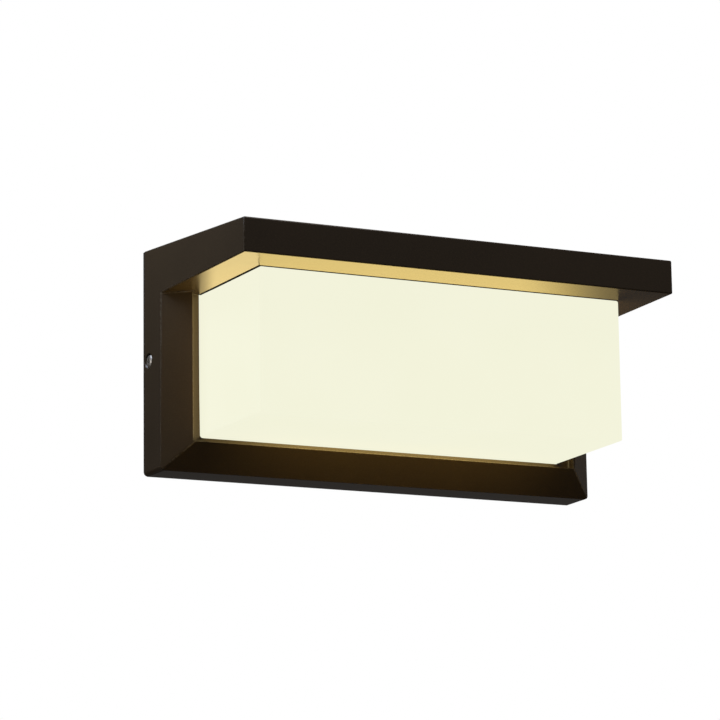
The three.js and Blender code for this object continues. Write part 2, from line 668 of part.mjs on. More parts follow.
const part = new THREE.Group();
part.add(lantern);

export default part;
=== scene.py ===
"""Outdoor wall lantern: its looks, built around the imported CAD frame.

Metres, +Z up. The wall is the plane y = 0, the lantern's front faces -Y, and x is 0 at its middle.
Lengths that belong to the design are in millimetres, as (x, height above the bottom edge, depth from
the wall).
"""

import json
import math

import bmesh
import bpy
from mathutils import Matrix, Vector


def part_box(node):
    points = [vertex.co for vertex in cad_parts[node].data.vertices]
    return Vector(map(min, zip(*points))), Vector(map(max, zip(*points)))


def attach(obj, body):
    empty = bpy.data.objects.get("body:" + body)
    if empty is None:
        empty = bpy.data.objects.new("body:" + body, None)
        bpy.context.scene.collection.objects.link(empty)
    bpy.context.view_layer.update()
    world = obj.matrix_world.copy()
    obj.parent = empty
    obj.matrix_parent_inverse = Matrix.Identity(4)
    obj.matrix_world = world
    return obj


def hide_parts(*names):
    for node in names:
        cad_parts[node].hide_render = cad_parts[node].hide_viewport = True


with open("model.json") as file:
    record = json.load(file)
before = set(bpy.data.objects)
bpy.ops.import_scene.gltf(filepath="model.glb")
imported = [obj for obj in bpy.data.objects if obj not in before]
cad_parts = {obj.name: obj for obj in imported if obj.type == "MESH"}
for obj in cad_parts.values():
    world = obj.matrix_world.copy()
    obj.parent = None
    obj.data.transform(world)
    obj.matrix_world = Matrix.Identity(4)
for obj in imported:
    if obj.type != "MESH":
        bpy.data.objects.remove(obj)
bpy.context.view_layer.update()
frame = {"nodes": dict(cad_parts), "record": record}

MM = 0.001
RECORD = frame["record"]
BODY_OF = {node: body for body, nodes in RECORD["behaviour"]["bodies"].items() for node in nodes}
SLOT_OF = {part["node"]: part["material_slot"] for part in RECORD["subparts"]}

# From the design's millimetres to metres. The origin is on the wall, at the lantern's middle height.
MIDDLE_HEIGHT = 61.75
DESIGN = (
    Matrix.Translation((0, 0, -MIDDLE_HEIGHT * MM))
    @ Matrix.Rotation(math.pi / 2, 4, "X")
    @ Matrix.Scale(MM, 4)
)
FORWARD = Vector((0, -1, 0))
BACKWARD = Vector((0, 1, 0))
LEFT = Vector((-1, 0, 0))
RIGHT = Vector((1, 0, 0))
UP = Vector((0, 0, 1))
DOWN = Vector((0, 0, -1))

# These lay a solid that stands along z along the design's x, and along its height
ALONG_X = Matrix.Rotation(math.pi / 2, 4, "Y")
ALONG_HEIGHT = Matrix.Rotation(-math.pi / 2, 4, "X")

# The camera looks up at the lantern from below its left side. Its lens and its sensor's width are in
# millimetres, its angles in degrees.
CAMERA_SENSOR = 36
CAMERA_AZIMUTH = -26.144
CAMERA_ELEVATION = -11.859
CAMERA_ROLL = -0.825
CAMERA_DISTANCE = 1.8551
CAMERA_LENS = 173.67
CAMERA_AIM = Vector((-29.51, -60.0, -1.63)) * MM

# The studio's level from above and from below, how much of it is left on the left side, and its tints
STUDIO_ABOVE = 0.15
STUDIO_BELOW = 0.04
STUDIO_LEFT = 0.35
TINT_ABOVE = (1, 0.97, 0.94)
TINT_BELOW = (1, 0.88, 0.78)

# Radiance of the studio's lamps, and of the light that leaves the opal box
SIDE_LIGHT = (3.8, 4.3, 5.3)
FRONT_LIGHT = (2.4, 2.2, 2.0)
EDGE_LIGHT = (16.0, 15.2, 14.4)
BACK_LIGHT = (2.4, 2.35, 2.3)
GLOW = Vector((2.8, 2.13, 0.74))
GLOW_BELOW = GLOW * 1.45
GLOW_AT_SIDES = {-1: Vector((3.1, 2.42, 1.02)), 1: Vector((2.2, 1.8, 0.9))}

# The opal box, and the hood above it. It narrows by its lean on each side, from the floor to its front.
HOOD_UNDERSIDE = 96.0
BOX = {"half": 108.5, "bottom": 18.3, "floor": 28.0, "front": 101.0, "lean": 1.7}

# The lamp's inside: its screws' and leads' places, and the depths of its sheets
TRAY_SCREWS = [(-115.8, 18), (115.8, 18), (-115.8, 97), (115.8, 97),
               (-40, 10.8), (40, 10.8), (-78, 103.4), (78, 103.4)]
BOARD_SCREWS = [(-91, 35), (91, 35), (-91, 79), (91, 79)]
TERMINAL_FIXINGS = [(-59.25, 53.5), (-48.75, 53.5)]
POLES = (-64.5, -54.0, -43.5)
CLAMPS = (48.9, 58.1)
INSERT_DEPTH = 13.6
LED_ENTRY = (60, 88.7)
EARTH_AT = (-12, 88)
CRIMP_DEPTH = 17.1
DRIVER_MIDDLE = 106.6
MAINS_ENTRIES = (-47.4, -42.6)
TRAY_BACK, TRAY_FRONT = 19.7, 21.2
BOARD_BACK, BOARD_FRONT = 21.5, 23.1
LED_PITCH = 19
LED_MIDDLE = 57
M3_HOLE = 1.8
M4_HOLE = 2.2
LEAD_RADIUS = 0.95
LED_LEAD_STEP = 1.3
STRANDS = 6
SOLDERED_STRANDS = 0.55
BARE_STRANDS = 0.65

# Edges that turn by more than this are sharp
SHARP = math.radians(32)


# ---- Camera, studio and lights ----

def make_camera():
    angles = (CAMERA_AZIMUTH, CAMERA_ELEVATION, CAMERA_ROLL)
    azimuth, elevation, roll = (math.radians(angle) for angle in angles)
    back = Vector((
        math.sin(azimuth) * math.cos(elevation),
        -math.cos(azimuth) * math.cos(elevation),
        math.sin(elevation),
    ))
    level = (-back).cross(UP).normalized()
    upright = level.cross(-back)
    across = math.cos(roll) * level + math.sin(roll) * upright
    rise = math.cos(roll) * upright - math.sin(roll) * level
    turn = Matrix((across, rise, back)).transposed().to_4x4()
    data = bpy.data.cameras.new("camera")
    data.sensor_width = CAMERA_SENSOR
    data.lens = CAMERA_LENS
    data.clip_start = 0.05
    data.clip_end = 60
    camera = bpy.data.objects.new("camera", data)
    camera.matrix_world = Matrix.Translation(CAMERA_AIM + back * CAMERA_DISTANCE) @ turn
    bpy.context.scene.collection.objects.link(camera)
    bpy.context.scene.camera = camera


def make_studio():
    """White to the camera. It lights the lantern a soft warm grey, darker below and on the left."""
    world = bpy.data.worlds.new("studio")
    world.use_nodes = True
    tree = world.node_tree
    tree.nodes.clear()
    place = add(tree, "ShaderNodeTexCoord")
    split = add(tree, "ShaderNodeSeparateXYZ", {"Vector": place.outputs["Generated"]})
    level = add(tree, "ShaderNodeMapRange", {
        "Value": split.outputs["Z"], "From Min": -0.6, "From Max": 0.4,
        "To Min": STUDIO_BELOW, "To Max": STUDIO_ABOVE,
    })
    leftward = ranged(tree, split.outputs["X"], STUDIO_LEFT, 1.0, -0.4, 0.0)
    level = add(tree, "ShaderNodeMath", {0: level.outputs[0], 1: leftward}, operation="MULTIPLY")
    warmth = ranged(tree, split.outputs["Z"], 1.0, 0.0, -0.4, 0.2)
    tint = blended(tree, warmth, TINT_ABOVE, TINT_BELOW)
    soft = add(tree, "ShaderNodeBackground", {"Color": tint, "Strength": level.outputs[0]})
    white = add(tree, "ShaderNodeBackground", {"Color": (1, 1, 1, 1), "Strength": 1.0})
    seen = add(tree, "ShaderNodeLightPath")
    mix = add(tree, "ShaderNodeMixShader", {
        0: seen.outputs["Is Camera Ray"], 1: soft.outputs[0], 2: white.outputs[0],
    })
    add(tree, "ShaderNodeOutputWorld", {"Surface": mix.outputs[0]})
    scene = bpy.context.scene
    scene.world = world
    scene.view_settings.view_transform = "Standard"
    scene.view_settings.look = "None"


def make_floor():
    """A plain pale floor, far below a lantern that hangs on a wall."""
    material, tree, shader = new_material("floor", (0.8, 0.8, 0.79), 0.9)
    grain = noise(tree, 3.0, detail=3)
    tint = blended(tree, grain, (0.78, 0.78, 0.77), (0.82, 0.82, 0.81))
    tree.links.new(tint, shader.inputs["Base Color"])
    tree.links.new(tint, shader.inputs["Emission Color"])
    shader.inputs["Emission Strength"].default_value = 0.75
    half, height = 6.0, -1.8
    mesh = bpy.data.meshes.new("floor")
    corners = [(x * half, y * half, height) for x, y in ((-1, -1), (1, -1), (1, 1), (-1, 1))]
    mesh.from_pydata(corners, [], [(0, 1, 2, 3)])
    mesh.materials.append(material)
    floor = bpy.data.objects.new("floor", mesh)
    bpy.context.scene.collection.objects.link(floor)
    floor.visible_glossy = False
    floor.visible_diffuse = False


def area_light(name, centre, direction, size, radiance, ends=None):
    """A rectangular light whose width lies level. ends is how much of its radiance is left at its left
    and right ends, seen from in front of it."""
    width, height = size
    data = bpy.data.lights.new(name, "AREA")
    data.shape = "RECTANGLE"
    data.size = width
    data.size_y = height
    peak = max(radiance)
    data.color = [value / peak for value in radiance]
    data.energy = peak * math.pi * width * height
    if ends:
        fade_to_ends(data, *ends)
    light = bpy.data.objects.new(name, data)
    light.rotation_mode = "QUATERNION"
    light.rotation_quaternion = direction.to_track_quat("-Z", "Y")
    light.location = centre
    light.visible_camera = False
    bpy.context.scene.collection.objects.link(light)


def fade_to_ends(data, left, right, reach=0.3):
    """Dims a light towards both ends. reach is the part of its width that each fade takes."""
    data.use_nodes = True
    tree = data.node_tree
    emission = tree.nodes["Emission"]
    spot = add(tree, "ShaderNodeNewGeometry")
    across = add(tree, "ShaderNodeSeparateXYZ", {"Vector": spot.outputs["Parametric"]}).outputs["X"]
    fades = (
        ranged(tree, across, right, 1.0, 0.0, reach),
        ranged(tree, across, left, 1.0, 1.0, 1.0 - reach),
    )
    level = add(tree, "ShaderNodeMath", {0: fades[0], 1: fades[1]}, operation="MULTIPLY")
    tree.links.new(level.outputs[0], emission.inputs["Strength"])


def make_studio_lights():
    """Soft lights above the left side, above the front and behind, and a narrow one beyond the left
    side that draws its edge."""
    side, middle = Vector((-0.13, -0.06, 0.0)), Vector((0, 0, 0))
    for name, place, aim, size, radiance in (
        ("side_light", (-0.27, -0.06, 0.20), side, (0.16, 0.16), SIDE_LIGHT),
        ("front_light", (0.12, -0.60, 0.80), middle, (0.5, 0.5), FRONT_LIGHT),
        ("edge_light", (-0.50, 0.01, -0.01), side, (0.06, 0.09), EDGE_LIGHT),
        ("back_light", (0.55, 0.75, 0.40), middle, (0.5, 0.5), BACK_LIGHT),
    ):
        area_light(name, Vector(place), aim - Vector(place), size, radiance)


def make_glow():
    """The light that leaves the opal box: one light just in front of each of its open faces."""
    clear, below_hood = 0.3, 0.05
    bottom, top = BOX["bottom"], HOOD_UNDERSIDE - below_hood
    middle = (bottom + top) / 2
    height = top - bottom
    depth = BOX["front"] - BOX["floor"]
    centre_depth = BOX["floor"] + depth / 2
    width = 2 * (BOX["half"] - BOX["lean"])
    area_light("glow_front", DESIGN @ Vector((0, middle, BOX["front"] + clear)), FORWARD,
               (width * MM, height * MM), GLOW, ends=(1.0, 0.2))
    area_light("glow_bottom", DESIGN @ Vector((0, bottom - clear, centre_depth)), DOWN,
               (width * MM, depth * MM), GLOW_BELOW, ends=(0.45, 0.25))
    lean = math.atan(BOX["lean"] / depth)
    at_wall, at_front = 0.4, 1.0
    for side in (-1, 1):
        across = side * (BOX["half"] - BOX["lean"] / 2 + clear)
        outward = Vector((side * math.cos(lean), -math.sin(lean), 0))
        area_light(f"glow_side_{side}", DESIGN @ Vector((across, middle, centre_depth)), outward,
                   (depth * MM, height * MM), GLOW_AT_SIDES[side],
                   ends=(at_wall, at_front) if side < 0 else (at_front, at_wall))


# ---- Material helpers ----

# The Mix node's sockets for colours
MIX_FIRST, MIX_SECOND, MIX_RESULT = 6, 7, 2


def add(tree, kind, inputs=None, **settings):
    """A new node. Each of its inputs is a plain value, or another node's output."""
    node = tree.nodes.new(kind)
    for name, value in settings.items():
        setattr(node, name, value)
    for name, value in (inputs or {}).items():
        if isinstance(value, bpy.types.NodeSocket):
            tree.links.new(value, node.inputs[name])
        else:
            node.inputs[name].default_value = value
    return node


def new_material(name, colour, roughness, metallic=0.0, **uniform):
    """A material with one Principled shader. uniform holds the shader's other plain values."""
    material = bpy.data.materials.new(name)
    material.use_nodes = True
    material.diffuse_color = (*colour, 1)
    tree = material.node_tree
    shader = tree.nodes["Principled BSDF"]
    shader.inputs["Base Color"].default_value = (*colour, 1)
    shader.inputs["Roughness"].default_value = roughness
    shader.inputs["Metallic"].default_value = metallic
    for socket, value in uniform.items():
        shader.inputs[socket.replace("_", " ")].default_value = value
    return material, tree, shader


def noise(tree, scale, detail, roughness=0.5, stretch=(1, 1, 1)):
    """Noise over the piece, with scale in features per metre."""
    place = add(tree, "ShaderNodeTexCoord")
    mapped = add(tree, "ShaderNodeMapping", {"Vector": place.outputs["Object"], "Scale": stretch})
    texture = add(tree, "ShaderNodeTexNoise", {
        "Vector": mapped.outputs[0], "Scale": scale, "Detail": detail, "Roughness": roughness,
    })
    return texture.outputs["Fac"]


def ranged(tree, value, low, high, start=0.25, end=0.75):
    """value, taken smoothly from start..end to low..high."""
    return add(tree, "ShaderNodeMapRange", {
        "Value": value, "From Min": start, "From Max": end, "To Min": low, "To Max": high,
    }, interpolation_type="SMOOTHSTEP").outputs[0]


def blended(tree, factor, first, second):
    """A colour between two others, which are plain or outputs."""
    node = add(tree, "ShaderNodeMix", {"Factor": factor}, data_type="RGBA")
    for socket, colour in ((node.inputs[MIX_FIRST], first), (node.inputs[MIX_SECOND], second)):
        if isinstance(colour, bpy.types.NodeSocket):
            tree.links.new(colour, socket)
        else:
            socket.default_value = (*colour, 1)
    return node.outputs[MIX_RESULT]


def wired(tree, shader, colour, roughness):
    tree.links.new(colour, shader.inputs["Base Color"])
    tree.links.new(roughness, shader.inputs["Roughness"])


def bumped(tree, shader, height, distance, strength):
    """Wires a fine relief into the shader, with its distance in metres."""
    bump = add(tree, "ShaderNodeBump", {"Height": height, "Distance": distance, "Strength": strength})
    tree.links.new(bump.outputs[0], shader.inputs["Normal"])


def wear_and_sheen_edges(tree, breakup_scale=900.0):
    """How worn a point is, from the mesh's edge attribute: up to 1 on outer edges, in fine patches. On
    the bronze paint it places a painted highlight instead of wear.
    """
    edge = add(tree, "ShaderNodeAttribute", attribute_name="edge")
    patch = noise(tree, breakup_scale, detail=4, roughness=0.65)
    patchy = ranged(tree, patch, 0.0, 1.0, 0.4, 0.65)
    edge_mix = add(tree, "ShaderNodeMath", {0: edge.outputs["Fac"], 1: patchy}, operation="MULTIPLY")
    return edge_mix.outputs[0]


def tinted(colour, level):
    """A colour made brighter or darker."""
    return tuple(min(1.0, level * c) for c in colour)


# ---- Materials ----

def bronze_paint():
    """Very dark bronze powder coat, satin, with a fine texture and a faint painted highlight along its
    edges.
    """
    colour = (0.050, 0.0335, 0.0175)
    # The lighter edge colour is a painted highlight, a sheen painted on the rounded edges, not wear
    sheen_colour = (0.095, 0.075, 0.052)
    material, tree, shader = new_material("bronze_paint", colour, 0.27)
    clouds = noise(tree, 16.0, detail=2)
    grain = noise(tree, 2400.0, detail=3, roughness=0.6)
    cloudy = ranged(tree, clouds, 0, 1, 0.1, 0.9)
    base = blended(tree, cloudy, tinted(colour, 0.86), tinted(colour, 1.14))
    flecked = blended(tree, ranged(tree, grain, 0, 1, 0.45, 0.8), base, tinted(colour, 1.5))
    # The rounded edges take the lighter colour: a painted highlight
    edge_mix = blended(tree, wear_and_sheen_edges(tree), flecked, sheen_colour)
    wired(tree, shader, edge_mix, ranged(tree, clouds, 0.255, 0.28, 0.0, 1.0))
    bumped(tree, shader, grain, 0.00002, 0.3)
    return material


def opal():
    """Lit opal polycarbonate: an even warm white that glows. Its own colour hardly adds to that."""
    material, tree, shader = new_material("opal", (0.06, 0.06, 0.05), 0.4, Specular_IOR_Level=0.08)
    clouds = noise(tree, 18.0, detail=3)
    grain = noise(tree, 3500.0, detail=1)
    base = blended(tree, clouds, (0.05, 0.05, 0.042), (0.07, 0.07, 0.058))
    wired(tree, shader, base, ranged(tree, clouds, 0.36, 0.46))
    glow = blended(tree, ranged(tree, clouds, 0, 1), (0.885, 0.887, 0.700), (0.893, 0.893, 0.712))
    tree.links.new(glow, shader.inputs["Emission Color"])
    shader.inputs["Emission Strength"].default_value = 1.0
    bumped(tree, shader, grain, 0.000006, 0.3)
    return material


def metal(name, colour, roughness, grain_scale, stretch=(1, 1, 1), relief=0.00001):
    """Bare or plated metal: cloudy colour, grain that may be drawn out one way, and brighter edges."""
    material, tree, shader = new_material(name, colour, roughness, metallic=1.0)
    clouds = noise(tree, 45.0, detail=4)
    grain = noise(tree, grain_scale, detail=3, roughness=0.6, stretch=stretch)
    base = blended(tree, ranged(tree, clouds, 0, 1), tinted(colour, 0.84), colour)
    lined = blended(tree, ranged(tree, grain, 0, 1, 0.35, 0.75), tinted(colour, 0.8), base)
    edge_mix = blended(tree, wear_and_sheen_edges(tree, 1400.0), lined, tinted(colour, 1.3))
    wired(tree, shader, edge_mix, ranged(tree, grain, 0.8 * roughness, 1.35 * roughness))
    bumped(tree, shader, grain, relief, 0.5)
    return material


def moulded(name, colour, roughness, relief=0.00002, grain_scale=1800.0, contrast=0.1):
    """Moulded plastic, rubber or silicone, with a fine matt grain."""
    material, tree, shader = new_material(name, colour, roughness)
    clouds = noise(tree, 60.0, detail=4)
    grain = noise(tree, grain_scale, detail=2)
    deep, pale = tinted(colour, 1 - contrast), tinted(colour, 1 + contrast)
    base = blended(tree, ranged(tree, clouds, 0, 1), deep, pale)
    edge_mix = blended(tree, wear_and_sheen_edges(tree, 1200.0), base, tinted(colour, 1.35))
    wired(tree, shader, edge_mix, ranged(tree, grain, 0.88 * roughness, min(1.0, 1.12 * roughness)))
    bumped(tree, shader, grain, relief, 0.4)
    return material


def insulation(name, colour, stripe=None):
    """A lead's glossy sleeve. The stripe is where the mesh's stripe attribute is 1."""
    material, tree, shader = new_material(name, colour, 0.36)
    clouds = noise(tree, 220.0, detail=3)
    base = blended(tree, ranged(tree, clouds, 0, 1), tinted(colour, 0.85), tinted(colour, 1.12))
    if stripe:
        striped = add(tree, "ShaderNodeAttribute", attribute_name="stripe").outputs["Fac"]
        base = blended(tree, ranged(tree, striped, 0, 1, 0.45, 0.55), base, stripe)
    wired(tree, shader, base, ranged(tree, clouds, 0.3, 0.42))
    bumped(tree, shader, noise(tree, 2500.0, detail=2), 0.000012, 0.4)
    return material


def wound(name, colour):
    """Polyester tape round a coil, with the wire's turns showing through as ridges."""
    material, tree, shader = new_material(name, colour, 0.32)
    place = add(tree, "ShaderNodeTexCoord")
    turns = add(tree, "ShaderNodeTexWave", {
        "Vector": place.outputs["Object"], "Scale": 330.0, "Distortion": 1.2, "Detail": 2.0,
    }, bands_direction="Y").outputs["Fac"]
    base = blended(tree, turns, tinted(colour, 0.75), tinted(colour, 1.1))
    wired(tree, shader, base, ranged(tree, turns, 0.26, 0.38))
    bumped(tree, shader, turns, 0.00008, 0.5)
    return material


def solder_mask(name, colour, roughness, cell, origin, turn):
    """A printed board's coloured mask over a grid of copper areas. It is darker and sunk at the gaps
    between them. The turn about x lays the grid in the board's plane."""
    material, tree, shader = new_material(name, colour, roughness)
    place = add(tree, "ShaderNodeTexCoord")
    flat = add(tree, "ShaderNodeMapping", {
        "Vector": place.outputs["Object"], "Rotation": (turn, 0, 0), "Location": origin,
    })
    gaps = add(tree, "ShaderNodeTexBrick", {
        "Vector": flat.outputs[0], "Scale": 1.0, "Mortar Size": 0.0003, "Mortar Smooth": 0.6,
        "Brick Width": cell[0], "Row Height": cell[1],
    }, offset=0.0).outputs["Fac"]
    clouds = noise(tree, 80.0, detail=3)
    base = blended(tree, ranged(tree, clouds, 0, 1), tinted(colour, 0.96), tinted(colour, 1.03))
    parted = blended(tree, gaps, base, tinted(colour, 0.82))
    wired(tree, shader, parted, ranged(tree, clouds, 0.85 * roughness, 1.15 * roughness))
    raised = add(tree, "ShaderNodeMath", {0: 1.0, 1: gaps}, operation="SUBTRACT").outputs[0]
    bumped(tree, shader, raised, 0.00003, 0.5)
    return material


def make_materials():
    """One material for each of the record's slots, and one for the LEDs' phosphor, which has none."""
    return {
        "bronze_paint": bronze_paint(),
        "opal": opal(),
        "tray_aluminium": metal("tray_aluminium", (0.78, 0.79, 0.80), 0.34, 2600.0,
                                stretch=(0.02, 1, 1), relief=0.000004),
        "zinc_steel": metal("zinc_steel", (0.58, 0.60, 0.63), 0.28, 260.0, relief=0.00002),
        "stainless": metal("stainless", (0.74, 0.71, 0.66), 0.42, 1800.0),
        "brass": metal("brass", (0.66, 0.47, 0.17), 0.24, 1500.0),
        "silicone": moulded("silicone", (0.60, 0.60, 0.56), 0.5),
        "white_plastic": moulded("white_plastic", (0.74, 0.74, 0.71), 0.38, contrast=0.05),
        "black_rubber": moulded("black_rubber", (0.020, 0.020, 0.021), 0.7,
                                relief=0.00008, grain_scale=900.0, contrast=0.2),
        "capacitor_sleeve": moulded("capacitor_sleeve", (0.018, 0.022, 0.045), 0.25, relief=0.000008),
        "board_white": solder_mask("board_white", (0.80, 0.80, 0.78), 0.35, cell=(0.019, 0.019),
                                   origin=(0.0095, 0.00475, 0), turn=-math.pi / 2),
        "circuit_board": solder_mask("circuit_board", (0.025, 0.15, 0.055), 0.4,
                                     cell=(0.0085, 0.0042), origin=(0, 0, 0), turn=0),
        "winding": wound("winding", (0.62, 0.42, 0.06)),
        "lead_red": insulation("lead_red", (0.42, 0.016, 0.014)),
        "lead_black": insulation("lead_black", (0.014, 0.014, 0.016)),
        "lead_brown": insulation("lead_brown", (0.14, 0.052, 0.02)),
        "lead_blue": insulation("lead_blue", (0.02, 0.085, 0.36)),
        "lead_green": insulation("lead_green", (0.06, 0.30, 0.045), stripe=(0.78, 0.60, 0.03)),
        "phosphor": moulded("phosphor", (0.80, 0.62, 0.10), 0.3, contrast=0.06),
    }


# ---- Meshes ----

def ring_of(radius, z, columns):
    """Points round the z axis."""
    angles = (2 * math.pi * i / columns for i in range(columns))
    return [(radius * math.cos(a), radius * math.sin(a), z) for a in angles]


def skinned(bm, loops, closed=False, capped=(True, True)):
    """Joins rings with equal counts of points, from first to last. closed joins the last to the first,
    and otherwise capped says which ends are filled."""
    rings = [[bm.verts.new(point) for point in loop] for loop in loops]
    pairs = list(zip(rings, rings[1:]))
    if closed:
        pairs.append((rings[-1], rings[0]))
    for near, far in pairs:
        for i in range(len(near)):
            j = (i + 1) % len(near)
            bm.faces.new((near[i], near[j], far[j], far[i]))
    if capped[0] and not closed:
        bm.faces.new(reversed(rings[0]))
    if capped[1] and not closed:
        bm.faces.new(rings[-1])
    return rings


def turned(profile, columns=48, **joining):
    """A turned solid about z. The profile's points are (radius, z)."""
    bm = bmesh.new()
    skinned(bm, [ring_of(radius, z, columns) for radius, z in profile], **joining)
    return bm


def arc(centre, radius, start, end, steps):
    """Points on an arc, with its angles in degrees."""
    spots = []
    for i in range(steps + 1):
        angle = math.radians(start + (end - start) * i / steps)
        spots.append((centre[0] + radius * math.cos(angle), centre[1] + radius * math.sin(angle)))
    return spots


def rounded_rectangle(x0, x1, y0, y1, radius):
    steps = 8
    corners = (((x1 - radius, y0 + radius), -90), ((x1 - radius, y1 - radius), 0),
               ((x0 + radius, y1 - radius), 90), ((x0 + radius, y0 + radius), 180))
    return [spot for centre, start in corners for spot in arc(centre, radius, start, start + 90, steps)]


def sheet_of(outlines, low, high):
    """A flat sheet between two values of z. The first outline is its edge, the others are its holes."""
    bm = bmesh.new()
    below, above = [], []
    for outline in outlines:
        lower, upper = ([bm.verts.new((x, y, z)) for x, y in outline] for z in (low, high))
        for i in range(len(outline)):
            j = (i + 1) % len(outline)
            bm.faces.new((lower[i], lower[j], upper[j], upper[i]))
            below.append(bm.edges.get((lower[i], lower[j])))
            above.append(bm.edges.get((upper[i], upper[j])))
    for edges in (below, above):
        bmesh.ops.triangle_fill(bm, use_beauty=True, use_dissolve=False, edges=edges)
    return bm


def circle(centre, radius, columns=32):
    last = 360 - 360 / columns
    return arc(centre, radius, 0, last, columns - 1)


def plate(outlines, low, high, radius=0.15, segments=2):
    """A flat sheet with rounded edges."""
    bm = sheet_of(outlines, low, high)
    rounded(bm, radius, segments)
    return bm


def curve_through(points):
    """Points on a smooth curve through the given ones, with equal steps between each two of them."""
    steps, ease = 10, 0.4
    stops = [Vector(point) for point in points]
    stops = [2 * stops[0] - stops[1], *stops, 2 * stops[-1] - stops[-2]]
    spots = []
    for before, start, end, after in zip(stops, stops[1:], stops[2:], stops[3:]):
        leave, arrive = ease * (end - before), ease * (after - start)
        for i in range(steps):
            t = i / steps
            spots.append(
                (2 * t**3 - 3 * t**2 + 1) * start + (t**3 - 2 * t**2 + t) * leave
                + (3 * t**2 - 2 * t**3) * end + (t**3 - t**2) * arrive
            )
    spots.append(stops[-2])
    return spots


def swept(spots, radius, columns, lobes=0):
    """A rod along a line of points, with eased ends. With lobes it is a twist of so many strands. The
    stripe attribute is 1 on a third of its skin."""
    end_size, groove, twist = 0.8, 0.13, 0.35
    bm = bmesh.new()
    stripe = bm.verts.layers.float.new("stripe")
    ends = [spots[0], *spots, spots[-1]]
    starts_along_x = abs((spots[1] - spots[0]).normalized().x) >= 0.7
    normal = UP if starts_along_x else RIGHT
    loops = []
    for i, (before, spot, after) in enumerate(zip(ends, spots, ends[2:])):
        tangent = (after - before).normalized()
        normal = (normal - tangent * normal.dot(tangent)).normalized()
        across = tangent.cross(normal)
        size = radius * (end_size if i in (0, len(spots) - 1) else 1.0)
        loop = []
        for column in range(columns):
            angle = 2 * math.pi * column / columns
            reach = size
            if lobes:
                reach *= 1 - groove * (1 - abs(math.cos(lobes * angle / 2 + twist * i)))
            loop.append(spot + reach * (math.cos(angle) * normal + math.sin(angle) * across))
        loops.append(loop)
    for ring in skinned(bm, loops):
        for vert in ring[:columns // 3]:
            vert[stripe] = 1.0
    return bm


def rounded_block(x, y, z, radius=0.2, segments=2):
    """A block between pairs of limits, with every edge rounded."""
    bm = bmesh.new()
    outline = [(x[0], y[0]), (x[1], y[0]), (x[1], y[1]), (x[0], y[1])]
    skinned(bm, [[(*spot, level) for spot in outline] for level in z])
    rounded(bm, radius, segments)
    return bm


def rounded(bm, radius, segments, shortest=0.0):
    """Rounds the sharp edges that are longer than the shortest. The edge attribute becomes 1 there."""
    bmesh.ops.recalc_face_normals(bm, faces=bm.faces)
    edge = bm.verts.layers.float.new("edge")
    sharp = [e for e in bm.edges
             if e.is_manifold and e.calc_face_angle() > SHARP and e.calc_length() > shortest]
    made = bmesh.ops.bevel(bm, geom=sharp, offset=radius, segments=segments, profile=0.5,
                           affect="EDGES", clamp_overlap=False)
    widest = 0.9 * radius
    narrow = {face for face in made["faces"]
              if face.calc_area() < widest * max(e.calc_length() for e in face.edges)}
    for vert in made["verts"]:
        if vert.is_valid and all(face in narrow for face in vert.link_faces):
            vert[edge] = 1.0


def joined(*solids):
    """Several solids as one mesh."""
    whole = bmesh.new()
    for solid in solids:
        mesh = bpy.data.meshes.new("solid")
        solid.to_mesh(mesh)
        solid.free()
        whole.from_mesh(mesh)
        bpy.data.meshes.remove(mesh)
    return whole


def moved(bm, matrix):
    bmesh.ops.transform(bm, matrix=matrix, verts=bm.verts)
    return bm


def put(bm, place, turn=Matrix.Identity(4)):
    """Moves a solid to a place, after a turn."""
    return moved(bm, Matrix.Translation(place) @ turn)


def facing(direction, place):
    """Takes a solid from millimetres to a place in metres, with its z along the direction."""
    turn = Vector(direction).to_track_quat("Z", "Y").to_matrix().to_4x4()
    return Matrix.Translation(place) @ turn @ Matrix.Scale(MM, 4)


def carved(blank, cutter):
    """The first solid less the second."""
    objects = []
    for bm in (blank, cutter):
        bmesh.ops.recalc_face_normals(bm, faces=bm.faces)
        mesh = bpy.data.meshes.new("solid")
        bm.to_mesh(mesh)
        bm.free()
        objects.append(bpy.data.objects.new("solid", mesh))
        bpy.context.scene.collection.objects.link(objects[-1])
    body, tool = objects
    cut = body.modifiers.new("cut", "BOOLEAN")
    cut.operation = "DIFFERENCE"
    cut.solver = "EXACT"
    cut.object = tool
    evaluated = body.evaluated_get(bpy.context.evaluated_depsgraph_get())
    result = bmesh.new()
    result.from_mesh(evaluated.to_mesh())
    evaluated.to_mesh_clear()
    for item in objects:
        mesh = item.data
        bpy.data.objects.remove(item)
        bpy.data.meshes.remove(mesh)
    return result


# ---- Pieces ----

def broad_faces(bm):
    """The flat faces that are wide enough to look flat right up to their corners, and the faces that
    lie in the same planes beside them."""
    least_area, least_width = 12 * MM * MM, 1.2 * MM
    same_plane = 0.9999
    waiting = [face for face in bm.faces if face.calc_area() > least_area
               and face.calc_area() > least_width * max(e.calc_length() for e in face.edges)]
    found = set(waiting)
    while waiting:
        face = waiting.pop()
        for beside in {other for edge in face.edges for other in edge.link_faces} - found:
            if beside.normal.dot(face.normal) > same_plane:
                found.add(beside)
                waiting.append(beside)
    return {face.index for face in found}


def shade(mesh, broad):
    """Shades the mesh smooth up to its sharp edges, and each broad face flat."""
    mesh.shade_smooth()
    mesh.set_sharp_from_angle(angle=SHARP)
    normals = [corner.vector.copy() for corner in mesh.corner_normals]
    broad_at = {}
    for face in mesh.polygons:
        if face.index in broad:
            for vert in face.vertices:
                broad_at.setdefault(vert, []).append(face.normal)
    nearest = math.cos(SHARP)
    for face in mesh.polygons:
        for corner, vert in zip(face.loop_indices, face.vertices):
            if face.index in broad:
                normals[corner] = face.normal.copy()
            elif vert in broad_at:
                best = max(broad_at[vert], key=face.normal.dot)
                if best.dot(face.normal) > nearest:
                    normals[corner] = best.copy()
    mesh.normals_split_custom_set(normals)


